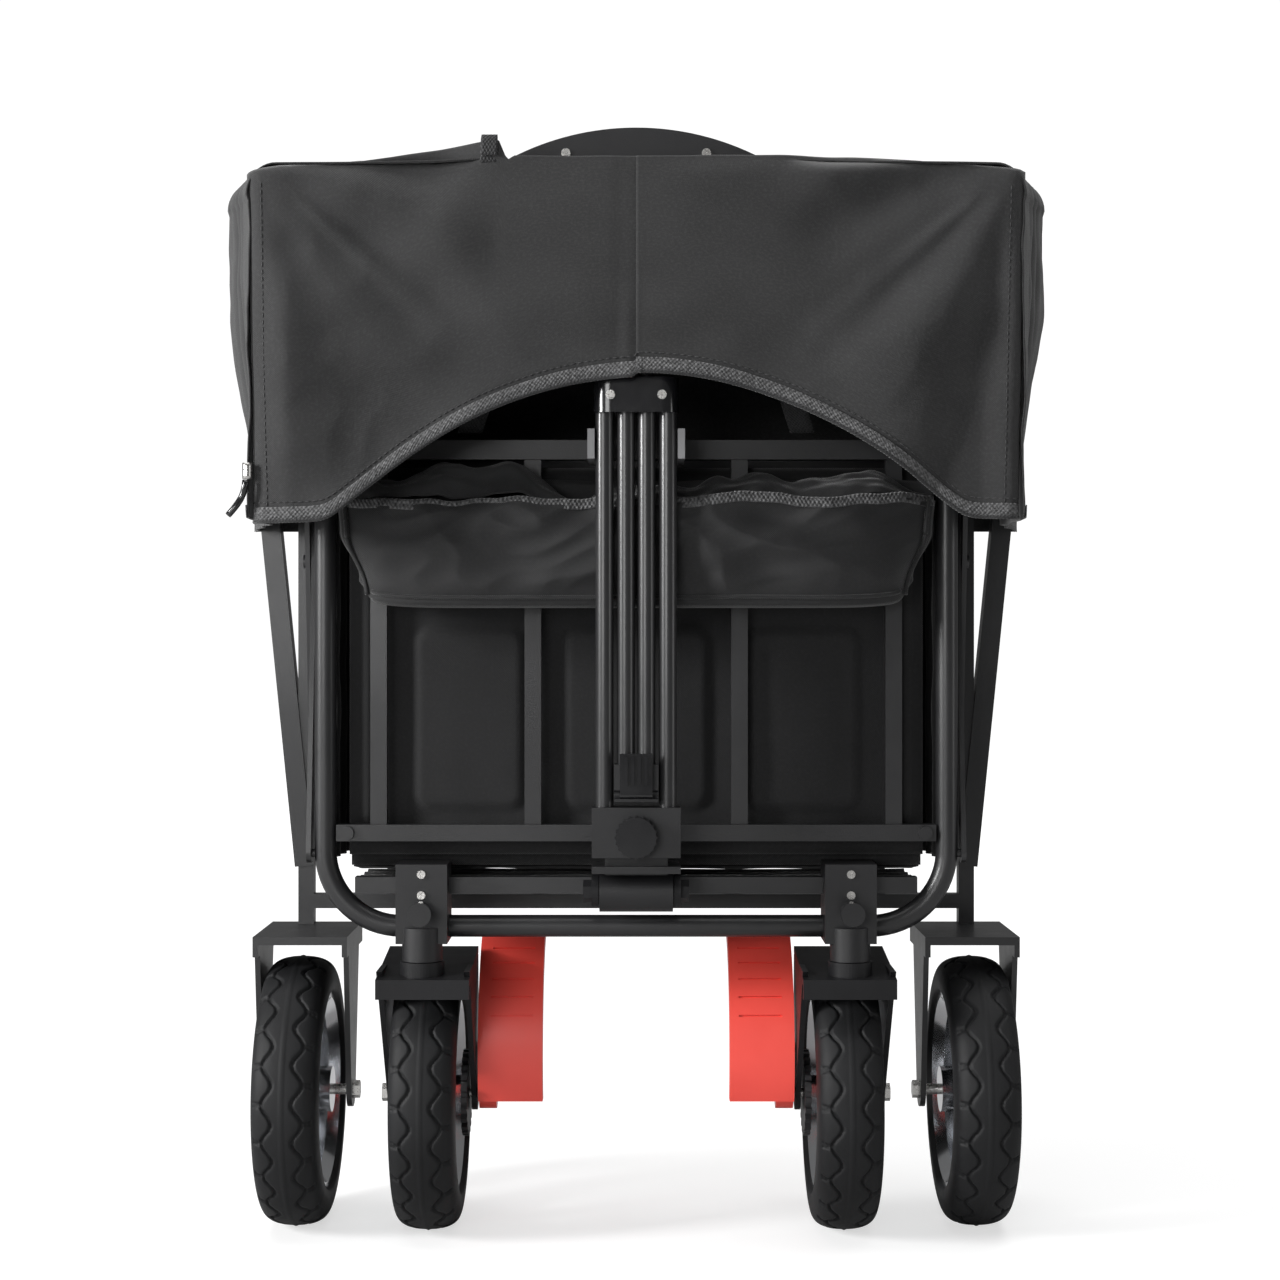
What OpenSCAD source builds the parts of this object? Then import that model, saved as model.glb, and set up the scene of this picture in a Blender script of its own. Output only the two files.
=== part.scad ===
// Folding four-wheeled wagon for children, folded up and standing on its wheels.
// +X is the wagon's right as seen from the handle end, -Y is the handle (front) end, +Z is up, the floor is Z = 0.

/* [Wheels] */
// Diameter of each tyre
wheel_d = 200; // [160:1:240]
// Width of each tyre
tyre_w = 48; // [36:1:54]
// Diameter of the rim's outer face, inside the tyre
rim_d = 148; // [120:1:154]
// Diameter of the wheel axles
axle_d = 8; // [6:0.5:12]
// Number of spokes in a rim
spokes = 5; // [3:1:8]
// Number of teeth on a brake ring
brake_teeth = 24; // [12:1:36]
// Distance from a caster's swivel axis back to its wheel's axle
trail = 74; // [50:1:90]

/* [Frame] */
// Distance between the centre lines of the two front uprights
front_w = 452; // [380:1:560]
// Distance between the front and rear frames when folded
fold_gap = 115; // [108:1:150]
// How far the rear frame moves back when the wagon unfolds
travel = 570; // [400:1:600]
// Height of the frames above the tyre tops, measured at the front tube's centre line
frame_lift = 32; // [26:1:50]
// Outer diameter of the front tube
tube_d = 16; // [14:0.5:20]
// Wall thickness of the front tube
tube_wall = 1.5; // [1:0.1:2.5]
// Centre-line radius of the front tube's two bends
bend_r = 55; // [40:1:70]
// Side of the square bars
bar = 12; // [10:0.5:14]
// Side of the square rear legs
leg = 15; // [12:0.5:18]
// Length of the front uprights above the tube's bottom run
upright_h = 498; // [440:1:560]
// How far each rear leg leans outwards by its top end
leg_lean = 46; // [30:1:54]

/* [Side linkage] */
// Length of each scissor link between its end pivots
link_l = 430; // [400:1:445]
// Width of a scissor link
link_w = 14; // [10:0.5:18]
// Thickness of a scissor link
link_t = 3.5; // [2:0.1:4]
// Diameter of the linkage pins
pin_d = 6; // [4:0.5:8]

/* [Floor] */
// Thickness of a floor board
board_t = 12; // [8:0.5:14]

/* [Handle] */
// Diameter of the handle's four tubes
handle_tube_d = 12.7; // [10:0.1:14]
// Distance between the centres of the two outer handle tubes
outer_pitch = 44.4; // [42:0.1:50]
// Distance between the centres of the two inner handle tubes
inner_pitch = 14.4; // [14.2:0.1:15]
// How far the handle pulls out
handle_travel = 220; // [160:1:260]
// Width of the grip
grip_w = 184; // [140:1:190]
// Thickness of the grip
grip_t = 24; // [18:1:24]
// Diameter of the handle's hinge barrel
barrel_d = 29; // [24:1:30]
// Length of the handle's hinge barrel
barrel_l = 52; // [46:1:60]
// Diameter of the handle's locking knob
knob_d = 30; // [24:1:34]

/* [Pedals] */
// Width of a brake pedal
pedal_w = 48; // [36:1:50]
// Radius of the curve of a brake pedal
pedal_r = 100; // [90:1:120]

/* [Canopy] */
// How far the canopy's front stands out past the middle of each front upright
canopy_ease = 44; // [36:1:74]
// How much further the canopy's rear stands out than its front, on each side
canopy_flare = 52; // [51:1:75]
// Thickness of the canopy's cloth, with its lining
cloth_t = 3; // [2:0.5:4]
// Depth of the canopy's skirt below its front top edge
skirt_h = 251; // [180:1:260]
// How far the canopy's poles pull up
canopy_travel = 300; // [150:1:300]

/* [Hidden] */
$fn = 48;

// Clearances
gap = 0.3;
run = 0.05;
slack = 0.5;

// Fore-and-aft places
wheel_r = wheel_d / 2;
depth = 256;
rear_axle_y = depth / 2 - wheel_r;
frame_y = -40;
rear_y = frame_y + fold_gap;
swivel_y = frame_y - 18;
front_axle_y = swivel_y + trail;
hinge_y = frame_y - 44;
handle_y = hinge_y - 16;
flap_y = -depth / 2;

// Heights
tube_z = wheel_d + frame_lift;
bar_b_z = tube_z + 30;
bar_a_z = tube_z + 68;
pivot_z = tube_z + 53;
crossbar_z = tube_z + 346;
upright_top = tube_z + upright_h;

// Side-to-side places, as distances from the middle
tube_r = tube_d / 2;
upright_x = front_w / 2;
caster_x = upright_x - 72;
plane_1 = upright_x + tube_r + 2;
plane_2 = plane_1 + link_t + 1;
link_out = plane_2 + link_t;
rail_x = link_out + bar / 2 + 6;
rear_wheel_x = rail_x - 2;
inner_x = upright_x - tube_r - gap;
canopy_front = upright_x + canopy_ease;
canopy_rear = canopy_front + canopy_flare;

// The linkage's angle from upright, folded and unfolded
fold_angle = asin(fold_gap / (2 * link_l));
pivot_rise = link_l * cos(fold_angle);
mid_y = link_l * sin(fold_angle);

// Caster
crown_t = 5;
crown_gap = 4;
boss_top = tube_z - 23;
stem_r = 5;
housing_w = 37;
housing_front = frame_y - 26;
housing_back = frame_y + 14;
housing_top = bar_b_z + 17;
fork_plate = 4;
fork_out = tyre_w / 2 + gap + 3.5;
fork_in = tyre_w / 2 + 7;
ring_t = 4.6;
lock_z = tube_z + 13;
lock_knob_r = 8.5;
lock_pin_r = 2.5;

// Canopy's places
canopy_back_y = rear_y + 21;
canopy_front_z = tube_z + 544;
canopy_rise = 30;
skirt_z = canopy_front_z - skirt_h;
bow_r = 4;
pole_r = 5;
pole_grip = 50;

module mirrored(side) {
    mirror([side < 0 ? 1 : 0, 0, 0]) children();
}

module both_sides() {
    children();
    mirror([1, 0, 0]) children();
}

// A rod along X, centred on the middle
module rod_x(r, length) {
    rotate([0, 90, 0]) cylinder(r = r, h = length, center = true);
}

// A rod along X that starts at the given place and runs outwards
module rod_out(r, length) {
    rotate([0, 90, 0]) cylinder(r = r, h = length);
}

// A rod along Y that starts at the given place and runs back
module rod_back(r, length) {
    rotate([-90, 0, 0]) cylinder(r = r, h = length);
}

// A box centred in X and Y that stands on the given place
module post(w, d, h) {
    translate([-w / 2, -d / 2, 0]) cube([w, d, h]);
}

// A flat screw head with a cross cut into it, facing the front
module screw_head(r) {
    difference() {
        rotate([90, 0, 0]) cylinder(r = r, h = 1.8);
        translate([-r, -2, -0.4]) cube([2 * r, 1, 0.8]);
        translate([-0.4, -2, -r]) cube([0.8, 1, 2 * r]);
    }
}

// ---- Front frame ----

module tube_run(r) {
    translate([0, frame_y, tube_z]) rod_x(r, 2 * (upright_x - bend_r));
    both_sides() translate([upright_x - bend_r, frame_y, tube_z + bend_r]) {
        rotate([90, 0, 0]) rotate_extrude(angle = -90) translate([bend_r, 0]) circle(r = r);
    }
}

module front_tube() {
    color("#1c1c1e") difference() {
        union() {
            tube_run(tube_r);
            both_sides() {
                translate([upright_x, frame_y, tube_z + bend_r]) cylinder(r = tube_r, h = upright_h - bend_r);
                translate([upright_x, frame_y, pivot_z]) rod_out(pin_d / 2, plane_1 + link_t - upright_x + 0.6);
            }
        }
        both_sides() translate([upright_x, frame_y, tube_z + bend_r + 20]) {
            cylinder(r = tube_r - tube_wall, h = upright_h);
        }
    }
}

module front_lower_bar() {
    half = upright_x - 22;
    color("#1c1c1e") translate([-half, frame_y - bar / 2, bar_b_z - bar / 2]) cube([2 * half, bar, bar]);
}

slat_w = 12;
slat_t = 6;
slats = [-0.86, -0.345, 0.345, 0.86];

// A frame's end wall: a lower bar, an upper crossbar and four slats that start at the foot's height
module grille(half, y, foot) {
    translate([-half, y - bar / 2, bar_a_z - bar / 2]) cube([2 * half, bar, bar]);
    translate([-half, y - bar / 2, crossbar_z - 7]) cube([2 * half, bar, 14]);
    for (place = slats) {
        translate([place * inner_x, y, foot]) post(slat_w, slat_t, crossbar_z - foot);
    }
}

module front_grille() {
    color("#1c1c1e") grille(inner_x, frame_y, bar_a_z);
}

clip_x = outer_pitch / 2 + handle_tube_d / 2 + 0.6;

module handle_clips() {
    reach = frame_y - bar / 2 - handle_y + 5;
    color("#77777a") both_sides() {
        translate([clip_x, handle_y - 5, crossbar_z - 11]) cube([5, reach, 21]);
    }
}

module frame_bolts() {
    color("#2a2a2c") both_sides() {
        translate([inner_x - 8, frame_y - bar / 2, bar_a_z]) rotate([90, 0, 0]) cylinder(r = 5, h = 3);
    }
}

// A clamp block round the tube and the lower bar, with the caster's swivel barrel below it
module caster_housing() {
    color("#202022") difference() {
        union() {
            translate([caster_x - housing_w / 2, housing_front, tube_z - 10]) {
                cube([housing_w, housing_back - housing_front, housing_top - tube_z + 10]);
            }
            translate([caster_x, swivel_y, boss_top + slack]) cylinder(r = 14.5, h = 24);
        }
        translate([0, frame_y, tube_z]) rod_x(tube_r + gap, front_w);
        translate([caster_x, frame_y - bar / 2 - gap, bar_b_z - bar / 2 - gap]) {
            translate([-housing_w, 0, 0]) cube([2 * housing_w, bar + 2 * gap, bar + 2 * gap]);
        }
        translate([caster_x, swivel_y, boss_top - 1]) cylinder(r = stem_r + run, h = 38);
        translate([caster_x, housing_front - 1, lock_z]) rod_back(lock_pin_r + run, swivel_y - housing_front);
    }
}

module housing_screws() {
    color("silver") both_sides() for (z = [bar_b_z - 5, bar_b_z + 10]) {
        translate([caster_x, housing_front, z]) screw_head(3);
    }
}

// The spring plunger that stops a caster from swivelling, with the knob that pulls it
module swivel_lock() {
    color("#29292b") translate([caster_x, housing_front, lock_z]) {
        translate([0, -18, 0]) rod_back(lock_knob_r, 10);
        translate([0, -8, 0]) rod_back(4, 7.5);
        translate([0, -1, 0]) rod_back(lock_pin_r, swivel_y - stem_r - housing_front - slack);
    }
}

ear_t = 5;
hinge_pin_r = 4;

// The clevis on the lower bar that carries the handle's hinge, with its pin and nuts
module handle_clevis() {
    ear_x = barrel_l / 2 + slack;
    front = frame_y - bar / 2;
    color("#1f1f21") {
        translate([-ear_x - ear_t, front - 4, bar_b_z - 12]) cube([2 * (ear_x + ear_t), 4, 24]);
        both_sides() {
            translate([ear_x, hinge_y, bar_b_z - 12]) cube([ear_t, front - hinge_y - 1, 24]);
            translate([ear_x, hinge_y, bar_b_z]) rod_out(12, ear_t);
            translate([ear_x + ear_t, hinge_y, bar_b_z]) rotate([0, 90, 0]) cylinder(r = 8, h = 6, $fn = 6);
        }
        translate([0, hinge_y, bar_b_z]) rod_x(hinge_pin_r, 2 * (ear_x + 1));
    }
}

// ---- Front fabric ----

pouch_front = handle_y + handle_tube_d / 2 + 3;
pouch_back = frame_y - bar / 2 - 3;
pouch_z = tube_z + 231;
pouch_h = 93;
pouch_wall = 4;

module front_pouch() {
    half = upright_x - 10;
    inside = half - pouch_wall;
    color("#232325") difference() {
        translate([0, (pouch_front + pouch_back) / 2, pouch_z]) {
            post(2 * half, pouch_back - pouch_front, pouch_h);
        }
        translate([0, (pouch_front + pouch_back) / 2, pouch_z + pouch_wall]) {
            post(2 * inside, pouch_back - pouch_front - 2 * pouch_wall, pouch_h);
        }
    }
}

wall_t = 10;
wall_half = upright_x - 14;
wall_z = housing_top + 2;
wall_top = crossbar_z - 10;

module front_wall() {
    color("#2b2b2d") translate([-wall_half, frame_y + bar / 2 + 2, wall_z]) {
        cube([2 * wall_half, wall_t, wall_top - wall_z]);
    }
}

module rear_wall() {
    color("#2b2b2d") translate([-wall_half, rear_y - bar / 2 - 2 - wall_t, wall_z]) {
        cube([2 * wall_half, wall_t, wall_top - wall_z]);
    }
}

module side_fabric() {
    front = frame_y + tube_r + 2;
    back = rear_y - bar / 2 - 4;
    color("#252527") both_sides() translate([upright_x - 5, front, wall_z]) {
        cube([6, back - front, wall_top - wall_z]);
    }
}

// ---- Wheels ----

// A tyre about the X axis
module tyre() {
    shoulder = 9;
    bead = rim_d / 2 + gap;
    half = tyre_w / 2;
    tread = wheel_r - 1.5;
    color("#2a2a2a") rotate([0, 90, 0]) rotate_extrude($fn = 128) polygon([
        [bead, -half + 2], [bead + 6, -half], [wheel_r - 14, -half], [wheel_r - 4, -half + 5],
        [tread, -half + shoulder], [wheel_r, 0], [tread, half - shoulder],
        [wheel_r - 4, half - 5], [wheel_r - 14, half], [bead + 6, half], [bead, half - 2]
    ]);
}

// A spoked rim about the X axis
module rim() {
    rim_r = rim_d / 2;
    hub_r = 17;
    half = tyre_w / 2 - 3;
    color("silver") rotate([0, 90, 0]) difference() {
        union() {
            rotate_extrude($fn = 96) polygon([
                [rim_r, -half], [rim_r, half], [rim_r - 5, half], [rim_r - 12, half - 8],
                [rim_r - 12, -half + 8], [rim_r - 5, -half]
            ]);
            cylinder(r = hub_r, h = tyre_w, center = true);
            for (i = [0:spokes - 1]) rotate([0, 0, 360 / spokes * i]) {
                translate([hub_r - 4, -7, -9]) cube([rim_r - hub_r - 4, 14, 18]);
            }
        }
        cylinder(r = axle_d / 2 + run, h = tyre_w + 2, center = true);
    }
}

ring_r = 28;

// A toothed ring on a front wheel's inner face, which the brake holds
module brake_ring() {
    color("#151516") rotate([0, 90, 0]) difference() {
        union() {
            cylinder(r = ring_r, h = ring_t);
            for (i = [0:brake_teeth - 1]) rotate([0, 0, 360 / brake_teeth * i]) {
                translate([ring_r - 1, -1.8, 0]) cube([5, 3.6, ring_t]);
            }
        }
        translate([0, 0, -1]) cylinder(r = axle_d / 2 + 1, h = ring_t + 2);
    }
}

module place_front_wheel(side) {
    mirrored(side) translate([caster_x, front_axle_y, wheel_r]) children();
}

module place_rear_wheel(side) {
    mirrored(side) translate([rear_wheel_x, rear_axle_y, wheel_r]) children();
}

module ring_at(side) {
    place_front_wheel(side) translate([-tyre_w / 2 - 0.2 - ring_t, 0, 0]) brake_ring();
}

// An axle about the X axis from one place to the other, with a hex head and a nut at its ends
module axle(from, to) {
    head_r = axle_d * 0.85;
    color("#c8c8ca") {
        translate([from, 0, 0]) rod_out(axle_d / 2, to - from);
        translate([to - 1, 0, 0]) rotate([0, 90, 0]) cylinder(r = head_r, h = 5, $fn = 6);
        translate([from - 4, 0, 0]) rotate([0, 90, 0]) cylinder(r = head_r, h = 5, $fn = 6);
    }
}

// A front axle goes on inwards through the pedal's lug
module front_axle() {
    axle(-pedal_out - pedal_lug - 1, fork_out + fork_plate + 1);
}

module rear_axle() {
    axle(-fork_half_in - fork_plate - 1, fork_half_out + fork_plate + 1);
}

// ---- Casters ----

// A fork leg's outline seen from the side: wide at the crown, round at the axle
module leg_plate(x, top_front, top_back, top_z, axle_y) {
    translate([x, 0, 0]) difference() {
        union() {
            rotate([90, 0, 90]) linear_extrude(fork_plate) polygon([
                [top_front, top_z], [top_back, top_z], [axle_y + 13, wheel_r], [axle_y - 13, wheel_r]
            ]);
            translate([0, axle_y, wheel_r]) rod_out(13, fork_plate);
        }
        translate([-1, axle_y, wheel_r]) rod_out(axle_d / 2 + run, fork_plate + 2);
    }
}

module caster_fork() {
    inner = caster_x - fork_in - fork_plate;
    outer = caster_x + fork_out;
    front = swivel_y - 20;
    back = front_axle_y + 6;
    back_z = wheel_d + crown_gap;
    front_z = back_z - 11;
    color("#1b1b1d") {
        difference() {
            translate([inner, 0, 0]) rotate([90, 0, 90]) linear_extrude(outer + fork_plate - inner) polygon([
                [front, front_z - 9], [front + 4, front_z - 9], [front + 4, front_z], [back, back_z],
                [back, back_z + crown_t], [front, front_z + crown_t]
            ]);
            translate([caster_x, swivel_y, front_z - 6]) cylinder(r = 16, h = 40);
        }
        translate([caster_x, swivel_y, front_z]) cylinder(r = 16, h = boss_top - front_z);
        translate([caster_x, swivel_y, boss_top - 1]) cylinder(r = stem_r, h = 36);
        leg_plate(inner, front + 6, back, back_z - 1, front_axle_y);
        leg_plate(outer, front + 6, back, back_z - 1, front_axle_y);
    }
}

pedal_gap = 1.5;
pedal_out = fork_in + fork_plate + pedal_gap;
pedal_t = 13;
pedal_lug = 13;
pedal_top = tube_z - tube_r - 3;
pedal_base = wheel_r - 3;
pedal_mid_y = front_axle_y - 26 + pedal_r;
groove = 1.6;

// A curved foot pedal that turns on the inner end of a front axle, with grooves across its upper half
module brake_pedal() {
    color("#d6453c") translate([-pedal_out - pedal_w, 0, 0]) difference() {
        union() {
            intersection() {
                translate([0, pedal_mid_y, wheel_r + 28]) rod_out(pedal_r, pedal_w);
                translate([0, front_axle_y - 60, pedal_base]) cube([pedal_w, 160, pedal_top - pedal_base]);
            }
            translate([pedal_w - pedal_lug, front_axle_y, wheel_r]) rod_out(12, pedal_lug);
        }
        difference() {
            translate([-1, pedal_mid_y, wheel_r + 28]) rod_out(pedal_r - pedal_t, pedal_w + 2);
            translate([pedal_w - pedal_lug, front_axle_y, wheel_r]) rod_out(12, pedal_lug);
            translate([pedal_w - pedal_lug, front_axle_y - 16, wheel_r - 3]) cube([pedal_lug, 22, 40]);
        }
        for (i = [0:5]) {
            angle = 60 - 8.2 * i;
            translate([7, pedal_mid_y, wheel_r + 28]) rotate([-angle, 0, 0]) {
                translate([0, -pedal_r - 1, -groove / 2]) cube([pedal_w - 16, 1 + groove, groove]);
            }
        }
        translate([-1, front_axle_y, wheel_r]) rod_out(axle_d / 2 + run, pedal_w + 2);
    }
}

// ---- Rear frame ----

fork_half_in = tyre_w / 2 + 12;
fork_half_out = tyre_w / 2 + 2;
rear_crown_z = wheel_d + 14;
rear_crown_t = 6;
post_bottom = rear_crown_z + rear_crown_t;
leg_z = tube_z + 33;
rail_bore = bar - 2 * tube_wall;
rear_bar_h = 11;
rail_top = upright_top - 6;

module rear_leg() {
    height = rail_top - leg_z;
    lean = atan(leg_lean / height);
    translate([rail_x + 1, rear_y, leg_z]) rotate([0, lean, 0]) post(leg, leg, height / cos(lean));
}

module rear_frame() {
    color("#1c1c1e") difference() {
        union() {
            both_sides() {
                translate([rail_x, rear_y, post_bottom]) post(bar, bar, rail_top - post_bottom);
                rear_leg();
                translate([plane_2 - 0.6, rear_y, pivot_z]) rod_out(pin_d / 2, rail_x - plane_2);
            }
            translate([-rail_x, rear_y - bar / 2, tube_z]) cube([2 * rail_x, bar, rear_bar_h]);
        }
        both_sides() translate([rail_x, rear_y, leg_z + 60]) post(rail_bore, rail_bore, upright_h);
    }
}

// The rear end wall stands on the rear crossbar by its slats, clear of the links and their collars
module rear_grille() {
    color("#1c1c1e") grille(plane_1 - 2, rear_y, tube_z + rear_bar_h);
}

module rear_fork() {
    inner = rear_wheel_x - fork_half_in - fork_plate;
    outer = rear_wheel_x + fork_half_out;
    front = rear_axle_y - 40;
    back = rear_y + bar / 2 + 3;
    color("#1b1b1d") {
        translate([inner, front, rear_crown_z]) cube([outer + fork_plate - inner, back - front, rear_crown_t]);
        translate([inner, front, rear_crown_z - 9]) cube([fork_plate, back - front, 10]);
        translate([outer, front, rear_crown_z - 9]) cube([fork_plate, back - front, 10]);
        leg_plate(inner, front + 8, back - 20, rear_crown_z + 1, rear_axle_y);
        leg_plate(outer, front + 8, back - 20, rear_crown_z + 1, rear_axle_y);
    }
}

// ---- Side linkage ----

// A flat link lying in the plane at x, from its lower pivot to its upper one, leaning back by the angle given
module link_bar(x, angle) {
    translate([x, 0, 0]) rotate([-angle, 0, 0]) {
        translate([0, -link_w / 2, 0]) cube([link_t, link_w, link_l]);
        rod_out(link_w / 2, link_t);
        translate([0, 0, link_l]) rod_out(link_w / 2, link_t);
    }
}

module pin_hole(y, z) {
    translate([0, y, z]) rod_out(pin_d / 2 + run, link_out + 10);
}

cross_z = pivot_z + pivot_rise / 2;
top_z = pivot_z + pivot_rise;

module front_link_a() {
    color("#242426") both_sides() {
        difference() {
            translate([0, frame_y, pivot_z]) link_bar(plane_1, fold_angle);
            pin_hole(frame_y, pivot_z);
        }
        translate([plane_1, frame_y + mid_y / 2, cross_z]) rod_out(pin_d / 2, link_out - plane_1 + 1);
        translate([link_out + gap, frame_y + mid_y / 2, cross_z]) rod_out(pin_d / 2 + 2, 1.7);
    }
}

module front_link_b() {
    color("#242426") both_sides() difference() {
        translate([0, frame_y + mid_y, pivot_z]) link_bar(plane_2, -fold_angle);
        pin_hole(frame_y, top_z);
        pin_hole(frame_y + mid_y / 2, cross_z);
    }
}

module rear_link_a() {
    color("#242426") both_sides() {
        difference() {
            translate([0, rear_y, pivot_z]) link_bar(plane_2, -fold_angle);
            pin_hole(rear_y, pivot_z);
        }
        translate([plane_1 - 1, rear_y - mid_y / 2, cross_z]) rod_out(pin_d / 2, link_out - plane_1 + 1);
        translate([plane_1 - gap - 1.7, rear_y - mid_y / 2, cross_z]) rod_out(pin_d / 2 + 2, 1.7);
    }
}

module rear_link_b() {
    color("#242426") both_sides() difference() {
        translate([0, rear_y - mid_y, pivot_z]) link_bar(plane_1, fold_angle);
        pin_hole(rear_y, top_z);
        pin_hole(rear_y - mid_y / 2, cross_z);
    }
}

collar_h = 20;

// Sliding collars on the front uprights, slotted on the inner side to pass the crossbar's ends
module front_collars() {
    color("#77777a") both_sides() difference() {
        union() {
            translate([upright_x, frame_y, top_z - collar_h / 2]) cylinder(r = tube_r + 3, h = collar_h);
            translate([upright_x, frame_y, top_z]) rod_out(pin_d / 2, link_out + 1 - upright_x);
        }
        translate([upright_x, frame_y, top_z - collar_h]) cylinder(r = tube_r + run, h = 2 * collar_h);
        translate([inner_x - 6, frame_y, top_z - collar_h]) post(12 + 2 * gap, bar + 2 * slack, 2 * collar_h);
    }
}

// Sliding collars on the rear uprights
module rear_collars() {
    wall = 3.5;
    color("#77777a") both_sides() difference() {
        union() {
            translate([rail_x, rear_y, top_z - collar_h / 2]) post(bar + 2 * wall, bar + 2 * wall, collar_h);
            translate([plane_1 - 1, rear_y, top_z]) rod_out(pin_d / 2, rail_x - plane_1);
        }
        translate([rail_x, rear_y, top_z - collar_h]) post(bar + 2 * gap, bar + 2 * gap, 2 * collar_h);
    }
}

// ---- Floor ----

board_half = upright_x - 14;
board_y_front = frame_y + bar / 2 + wall_t + board_t / 2 + 4;
board_y_rear = rear_y - bar / 2 - wall_t - board_t / 2 - 4;
board_z = tube_z + 46;

// The two boards' free ends just clear each other when both stand at 45 degrees, half-way through the travel
board_l = (board_y_rear - board_y_front + travel / 2) / sqrt(2) - board_t / 2 - 2;

module floor_board(y) {
    color("#303032") {
        translate([-board_half, y - board_t / 2, board_z]) cube([2 * board_half, board_t, board_l]);
        translate([0, y, board_z]) rod_x(board_t / 2, 2 * board_half);
    }
}

module floor_board_front() {
    floor_board(board_y_front);
}

module floor_board_rear() {
    floor_board(board_y_rear);
}

module floor_centre_board() {
    room = board_y_rear - board_y_front - board_t - 4;
    middle = (board_y_front + board_y_rear) / 2;
    color("#303032") translate([-board_half, middle - room / 2, board_z - 9]) cube([2 * board_half, room, 8]);
}

// ---- Handle ----

handle_tube_r = handle_tube_d / 2;
base_z = bar_b_z + 15;
base_top = bar_b_z + 61;
base_w = 62;
base_depth = 24;
outer_tube_l = handle_travel + 80;
outer_top = base_top + outer_tube_l;
collar_w = 60;
grip_z = tube_z + 565;
socket_z = outer_top + 60;
carriage_z = base_top + 4;

// The moulded foot of the handle with its hinge barrel
module handle_base() {
    color("#232325") difference() {
        union() {
            translate([0, handle_y, bar_b_z + 26]) post(base_w, base_depth, base_top - bar_b_z - 26);
            translate([0, handle_y + 6, base_z]) post(base_w, 36, 5);
            translate([0, handle_y + 6, base_z + 4]) post(barrel_l - 8, 20, 10);
            translate([0, hinge_y, bar_b_z]) rod_x(barrel_d / 2, barrel_l);
            translate([0, hinge_y, bar_b_z + 8]) post(barrel_l - 8, 16, 10);
        }
        translate([0, hinge_y, bar_b_z]) rod_x(hinge_pin_r + run, barrel_l + 2);
        both_sides() translate([outer_pitch / 2, handle_y, base_top - 20]) cylinder(r = handle_tube_r, h = 21);
        translate([0, handle_y - base_depth / 2 - 1, bar_b_z + 41]) rod_back(lock_pin_r + run, 16);
    }
}

module handle_outer_tubes() {
    color("#161618") both_sides() translate([outer_pitch / 2, handle_y, base_top - 20]) difference() {
        cylinder(r = handle_tube_r, h = outer_tube_l + 20);
        translate([0, 0, -1]) cylinder(r = handle_tube_r - 1.2, h = outer_tube_l + 22);
    }
}

module handle_collar() {
    color("#0f0f10") difference() {
        translate([0, handle_y, outer_top - 24]) {
            post(collar_w - base_depth, base_depth, 24.5);
            both_sides() translate([collar_w / 2 - base_depth / 2, 0, 0]) cylinder(r = base_depth / 2, h = 24.5);
        }
        both_sides() translate([outer_pitch / 2, handle_y, outer_top - 25]) cylinder(r = handle_tube_r, h = 25);
        translate([0, handle_y, outer_top - 25]) hull() both_sides() {
            translate([inner_pitch / 2, 0, 0]) cylinder(r = handle_tube_r + gap, h = 27, $fn = 32);
        }
    }
}

module collar_screws() {
    color("silver") both_sides() {
        translate([outer_pitch / 2 - 4.2, handle_y - base_depth / 2, outer_top - 12]) screw_head(3.2);
    }
}

module handle_knob() {
    ridges = 20;
    front = handle_y - base_depth / 2 - slack;
    color("#1a1a1b") translate([0, front, bar_b_z + 41]) {
        translate([0, -11, 0]) rod_back(knob_d / 2 - 1, 11);
        translate([0, -1, 0]) rod_back(lock_pin_r, 13);
        for (i = [0:ridges - 1]) rotate([0, 360 / ridges * i, 0]) {
            translate([knob_d / 2 - 1, -9, 0]) rod_back(1, 8);
        }
    }
}

module handle_inner_tubes() {
    color("#161618") both_sides() translate([inner_pitch / 2, handle_y, carriage_z + 14]) {
        cylinder(r = handle_tube_r, h = socket_z + 12 - carriage_z - 14);
    }
}

// The block on the inner tubes' lower ends, which the latch locks
module handle_carriage() {
    half = outer_pitch / 2 - handle_tube_r - slack;
    color("#232325") difference() {
        translate([0, handle_y, carriage_z]) post(2 * half, 18, 26);
        both_sides() translate([inner_pitch / 2, handle_y, carriage_z + 14]) cylinder(r = handle_tube_r, h = 14);
        translate([0, handle_y - 9, carriage_z + 5]) rod_x(3 + run, 2 * half + 2);
    }
}

// The ribbed thumb lever in front of the inner tubes
module handle_latch() {
    half = outer_pitch / 2 - handle_tube_r - slack - 4;
    color("#1a1a1b") {
        translate([0, handle_y - 9, carriage_z + 5]) rod_x(3, 2 * half);
        translate([0, handle_y - 13, carriage_z + 5]) post(2 * half, 6, 29);
        for (i = [-1.5:1:1.5]) translate([4.6 * i, handle_y - 16.5, carriage_z + 12]) post(2, 2, 20);
    }
}

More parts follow.
